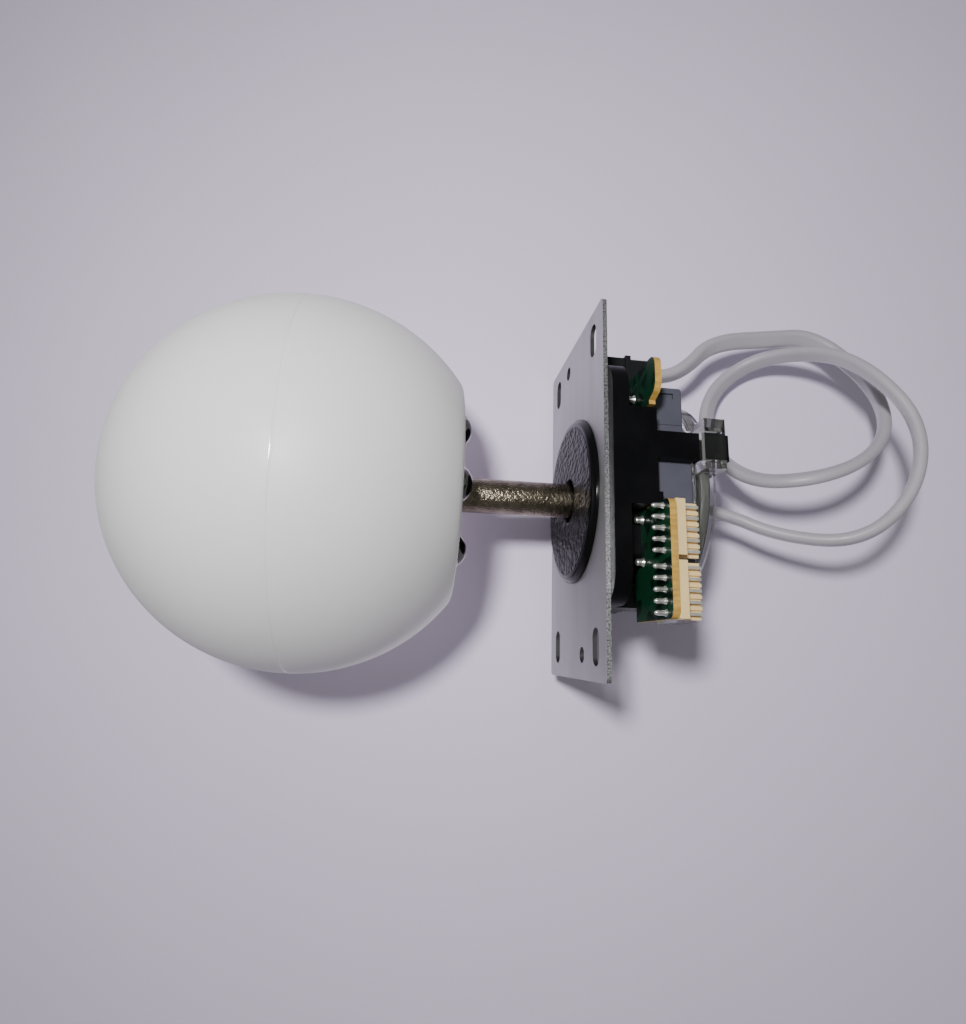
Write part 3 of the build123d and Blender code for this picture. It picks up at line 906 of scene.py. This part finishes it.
class JOYSTICK_OT_globe(bpy.types.Operator):
    """Makes the milky globe with the faint seam of its two shells"""

    bl_idname = "joystick.globe"
    bl_label = "Globe"

    def execute(self, context):
        settings = context.scene.joystick_globe
        low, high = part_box("ball_upper")
        lower_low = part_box("ball_lower")[0]
        centre = low[2]
        radius = high[2] - centre
        inside = radius - settings.wall
        base = lower_low[2]
        hole = 4.78 * MM
        steps = 48

        def arc(r, start, end):
            return [
                (
                    r * math.cos(start + (end - start) * k / steps),
                    centre + r * math.sin(start + (end - start) * k / steps),
                )
                for k in range(steps + 1)
            ]

        quarter = math.pi / 2
        rise = math.asin(settings.seam / 2 / radius)
        dome = arc(radius, quarter, rise)
        dome[0] = (0.0, centre + radius)
        groove = [(radius - settings.seam_depth, centre)]
        flat = math.asin((base - centre) / radius)
        edge = 1.2 * MM
        outer = arc(radius, -rise, flat + edge / radius)
        rim_r = radius * math.cos(flat)
        corner = Vector((rim_r, base))
        start = Vector(outer[-1])
        end = Vector((rim_r - edge, base))
        bend = [
            tuple((1 - t) ** 2 * start + 2 * t * (1 - t) * corner + t * t * end)
            for t in (0.2, 0.4, 0.6, 0.8, 1.0)
        ]
        floor = base + settings.wall
        hollow = arc(inside, math.asin((floor - centre) / inside), quarter)
        hollow[-1] = (0.0, centre + inside)
        outline = dome + groove + outer + bend + [(hole, base), (hole, floor)] + hollow
        bm = bmesh.new()
        turn_outline(bm, outline, settings.segments)
        finish = globe_finish(settings, centre)
        globe = add_piece("globe", finish_mesh("globe", bm), "lever", finish)
        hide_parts("ball_upper", "ball_lower")
        return {"FINISHED"}


class JOYSTICK_OT_globe_inside(bpy.types.Operator):
    """Finishes the hub, the light board and its chips inside the globe"""

    bl_idname = "joystick.globe_inside"
    bl_label = "Globe inside"

    def execute(self, context):
        plastic = context.scene.joystick_plastic
        natural = moulded_finish("hub natural moulding", plastic.natural, (0.42, 0.55))
        dress("ball_hub", natural, bevel=0.3 * MM)
        white = (0.82, 0.82, 0.8)
        mask = moulded_finish("light board white mask", white, (0.25, 0.35), coat=0.2)
        dress("led_board", mask)
        dress("leds", lens_finish(), bevel=0.2 * MM)
        return {"FINISHED"}


class JOYSTICK_OT_screws(bpy.types.Operator):
    """Makes the domed screws under the globe and finishes the plate's screws"""

    bl_idname = "joystick.screws"
    bl_label = "Screws"

    def execute(self, context):
        steel = screw_finish(context.scene.joystick_metal)
        low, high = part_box("hub_screws")
        seat = node_bottom("ball_lower")
        extra_height = 0.9 * MM
        bottom = low[2] - extra_height
        head_radius = 4.7 * MM
        circle = 18.0 * MM
        count = 6
        first_turn = -36
        shank = 2.0 * MM
        bm = bmesh.new()
        height = seat - bottom
        dome = (head_radius**2 + height**2) / (2 * height)
        sweep = math.asin(head_radius / dome)
        steps = 14
        cap = [
            (dome * math.sin(sweep * k / steps), bottom + dome - dome * math.cos(sweep * k / steps))
            for k in range(steps + 1)
        ]
        socket = 1.5 * MM
        depth = 1.1 * MM
        lip = 0.2 * MM
        margin = 0.25 * MM
        keep = [p for p in cap if p[0] > socket + margin]
        mouth = bottom + dome - math.sqrt(dome**2 - (socket + lip) ** 2)
        outline = [
            (0.0, bottom + depth),
            (socket, bottom + depth),
            (socket, mouth + margin),
            (socket + lip, mouth),
        ]
        outline += keep[:-1]
        outline += [
            (head_radius - 0.1 * MM, seat - 0.12 * MM),
            (head_radius, seat - 0.04 * MM),
            (head_radius, seat),
            (shank, seat),
            (shank, high[2]),
            (0.0, high[2]),
        ]
        for k in range(count):
            angle = math.radians(first_turn + 360 / count * k)
            place = Matrix.Translation((circle * math.cos(angle), circle * math.sin(angle), 0))
            turn_outline(bm, outline, 40, place)
        mesh = finish_mesh("globe_screws", bm, 28)
        heads = add_piece("globe_screws", mesh, "lever", steel)
        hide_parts("hub_screws")
        dress("plate_screws", steel, bevel=0.08 * MM)
        dress("e_clip", steel, bevel=0.08 * MM)
        return {"FINISHED"}


class JOYSTICK_OT_shaft(bpy.types.Operator):
    """Makes the crinkled shaft with its collar, groove and bore"""

    bl_idname = "joystick.shaft"
    bl_label = "Shaft"

    def execute(self, context):
        low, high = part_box("shaft")
        pivot_low = node_bottom("pivot_ball")
        pivot_high = node_top("pivot_ball")
        clip_low = node_bottom("e_clip")
        clip_high = node_top("e_clip")
        bore = 2.2 * MM
        stem = 4.75 * MM
        tail = 4.0 * MM
        groove = 3.4 * MM
        collar = 6.0 * MM
        thick = 0.8 * MM
        outline = [
            (bore, low[2]),
            (tail, low[2], 0.4 * MM),
            (tail, clip_low),
            (groove, clip_low),
            (groove, clip_high),
            (tail, clip_high),
            (tail, pivot_low),
            (stem, pivot_low),
            (stem, pivot_high),
            (collar, pivot_high, 0.15 * MM),
            (collar, pivot_high + thick, 0.15 * MM),
            (stem, pivot_high + thick),
            (stem, high[2], 0.3 * MM),
            (bore, high[2]),
        ]
        bm = bmesh.new()
        turn_outline(bm, rounded(outline), 72)
        piece = add_piece(
            "shaft_turned",
            finish_mesh("shaft_turned", bm),
            "lever",
            shaft_finish(context.scene.joystick_metal),
        )
        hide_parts("shaft")
        return {"FINISHED"}


class JOYSTICK_OT_washer(bpy.types.Operator):
    """Makes the grained dust washer with its smooth rolled rim"""

    bl_idname = "joystick.washer"
    bl_label = "Dust washer"

    def execute(self, context):
        low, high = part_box("dust_washer")
        radius = high[0]
        top = high[2]
        hole = 6.05 * MM
        under = top - 1.0 * MM
        rim = radius - 1.6 * MM
        outline = [
            (hole, under, 0.2 * MM),
            (rim, under),
            (rim, low[2]),
            (radius, low[2], 0.1 * MM),
            (radius, low[2] + 0.7 * MM, 0.45 * MM),
            (radius - 1.0 * MM, top - 0.1 * MM, 0.5 * MM),
            (radius - 1.7 * MM, top, 0.3 * MM),
            (hole, top, 0.35 * MM),
        ]
        bm = bmesh.new()
        turn_outline(bm, rounded(outline, 5), 128)
        piece = add_piece(
            "dust_washer_grained",
            finish_mesh("dust_washer_grained", bm, 50),
            "base",
            washer_finish(context.scene.joystick_plastic, radius - 1.9 * MM),
        )
        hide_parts("dust_washer")
        return {"FINISHED"}


class JOYSTICK_OT_plate(bpy.types.Operator):
    """Finishes the mounting plate with its torn bright edge"""

    bl_idname = "joystick.plate"
    bl_label = "Mounting plate"

    def execute(self, context):
        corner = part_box("mounting_plate")[1]
        finish = plate_finish(context.scene.joystick_metal, corner[0], corner[1])
        dress("mounting_plate", finish, bevel=0.1 * MM, segments=2)
        return {"FINISHED"}


class JOYSTICK_OT_housing(bpy.types.Operator):
    """Finishes the black housing and the actuator"""

    bl_idname = "joystick.housing"
    bl_label = "Housing"

    def execute(self, context):
        black = black_finish(context.scene.joystick_plastic)
        dress("housing", black, bevel=0.35 * MM, segments=3)
        dress("actuator", black, bevel=0.2 * MM)
        return {"FINISHED"}


class JOYSTICK_OT_pivot(bpy.types.Operator):
    """Finishes the pivot ball, the spring cup and the return spring"""

    bl_idname = "joystick.pivot"
    bl_label = "Pivot and spring"

    def execute(self, context):
        plastic = context.scene.joystick_plastic
        natural = moulded_finish("pivot greased moulding", plastic.natural, (0.2, 0.35), coat=0.3)
        dress("pivot_ball", natural, bevel=0.15 * MM)
        dress("spring_cup", natural, bevel=0.12 * MM)
        low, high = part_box("return_spring")
        metal = context.scene.joystick_metal
        wire = metal.spring_wire / 2
        bm = bmesh.new()
        wind_coil(bm, high[0] - wire, wire, metal.spring_turns, low[2] + wire, high[2] - wire)
        coil = bpy.data.objects.new("return_spring_coil", finish_mesh("return_spring_coil", bm))
        context.scene.collection.objects.link(coil)
        coil.data.materials.append(screw_finish(metal))
        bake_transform(coil)
        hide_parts("return_spring")
        return {"FINISHED"}


# Outline of a solder joint as shares of its foot radius and height
SOLDER_DROP = (
    (1.0, -0.02),
    (1.0, 0.04),
    (0.78, 0.18),
    (0.70, 0.40),
    (0.72, 0.62),
    (0.66, 0.80),
    (0.52, 0.91),
    (0.28, 0.98),
    (0.0, 1.0),
)


class JOYSTICK_OT_board(bpy.types.Operator):
    """Finishes the circuit board and adds its solder joints"""

    bl_idname = "joystick.board"
    bl_label = "Circuit board"

    def execute(self, context):
        settings = context.scene.joystick_board
        metal = context.scene.joystick_metal
        dress("circuit_board", board_finish(settings))
        tin = solder_finish(metal)
        dress("switch_tails", tin)
        dress("header_pins", pin_finish(metal), bevel=0.12 * MM)
        top = node_top("circuit_board")
        sunk = 0.05 * MM
        tail_radius = 1.5 * settings.joint_radius
        tail_height = 0.72 * settings.joint_height
        bm = bmesh.new()
        for node, width, height in (
            ("header_pins", settings.joint_radius, settings.joint_height),
            ("switch_tails", tail_radius, tail_height),
        ):
            drop = [(0.0, top - sunk)]
            drop += [(width * r, top + height * h) for r, h in SOLDER_DROP]
            for x, y in island_centres(NODES[node].data):
                turn_outline(bm, drop, 20, Matrix.Translation((x, y, 0)))
        mesh = finish_mesh("solder_joints", bm, 60)
        add_piece("solder_joints", mesh, "base", tin)
        return {"FINISHED"}


class JOYSTICK_OT_switches(bpy.types.Operator):
    """Finishes the switch cases and their plungers"""

    bl_idname = "joystick.switches"
    bl_label = "Switches"

    def execute(self, context):
        plastic = context.scene.joystick_plastic
        grey = moulded_finish("switch blue grey moulding", plastic.switch, (0.42, 0.55))
        white = moulded_finish("plunger white moulding", plastic.natural, (0.3, 0.4))
        for side in ("front", "right", "back", "left"):
            dress("switch_" + side, grey, bevel=0.12 * MM)
            dress("plunger_" + side, white, bevel=0.2 * MM)
        return {"FINISHED"}


class JOYSTICK_OT_headers(bpy.types.Operator):
    """Finishes the ivory pin wafers"""

    bl_idname = "joystick.headers"
    bl_label = "Pin wafers"

    def execute(self, context):
        ivory = moulded_finish(
            "wafer ivory moulding", context.scene.joystick_plastic.ivory, (0.35, 0.48), glow=0.35
        )
        dress("header_inner", ivory, bevel=0.15 * MM)
        dress("header_outer", ivory, bevel=0.15 * MM)
        return {"FINISHED"}


class JOYSTICK_OT_gate(bpy.types.Operator):
    """Finishes the clear gate and adds the cloudy ring inside it"""

    bl_idname = "joystick.gate"
    bl_label = "Gate"

    def execute(self, context):
        dress("gate", clear_finish(), bevel=0.3 * MM, segments=3)
        plastic = context.scene.joystick_plastic
        top = node_top("gate")
        inner = 21.0 * MM
        outer = 25.2 * MM
        low = top - 4.1 * MM
        high = top - 1.9 * MM
        soft = 0.4 * MM
        outline = [(inner, low), (outer, low, soft), (outer, high, soft), (inner, high)]
        bm = bmesh.new()
        turn_outline(bm, rounded(outline), 96)
        cloudy = shade(plastic.natural, 0.3)
        core = moulded_finish("gate core cloudy moulding", cloudy, (0.4, 0.5), glow=0.3)
        add_piece("gate_core", finish_mesh("gate_core", bm), "base", core)
        return {"FINISHED"}


class JOYSTICK_PT_panel(bpy.types.Panel):
    """Lists the lever's pieces"""

    bl_idname = "JOYSTICK_PT_panel"
    bl_label = "Joystick lever"
    bl_space_type = "VIEW_3D"
    bl_region_type = "UI"
    bl_category = "Joystick"

    def draw(self, context):
        for group in SETTINGS:
            box = self.layout.box()
            settings = getattr(context.scene, group)
            for key in settings.bl_rna.properties.keys():
                if key not in ("rna_type", "name"):
                    box.prop(settings, key)
        for operator in OPERATORS:
            self.layout.operator(operator.bl_idname)


SETTINGS = {
    "joystick_globe": GlobeSettings,
    "joystick_metal": MetalSettings,
    "joystick_plastic": PlasticSettings,
    "joystick_board": BoardSettings,
    "joystick_cord": CordSettings,
    "joystick_stage": StageSettings,
}
OPERATORS = (
    JOYSTICK_OT_stage,
    JOYSTICK_OT_cord,
    JOYSTICK_OT_globe,
    JOYSTICK_OT_globe_inside,
    JOYSTICK_OT_screws,
    JOYSTICK_OT_shaft,
    JOYSTICK_OT_washer,
    JOYSTICK_OT_plate,
    JOYSTICK_OT_housing,
    JOYSTICK_OT_pivot,
    JOYSTICK_OT_board,
    JOYSTICK_OT_switches,
    JOYSTICK_OT_headers,
    JOYSTICK_OT_gate,
)


def register():
    for cls in (*SETTINGS.values(), *OPERATORS, JOYSTICK_PT_panel):
        bpy.utils.register_class(cls)
    for name, cls in SETTINGS.items():
        setattr(bpy.types.Scene, name, PointerProperty(type=cls))


def unregister():
    for name in SETTINGS:
        delattr(bpy.types.Scene, name)
    for cls in (JOYSTICK_PT_panel, *reversed(OPERATORS), *SETTINGS.values()):
        bpy.utils.unregister_class(cls)


def main():
    register()
    for operator in OPERATORS:
        group, name = operator.bl_idname.split(".")
        getattr(getattr(bpy.ops, group), name)()
    bpy.context.view_layer.update()


if __name__ == "__main__":
    main()
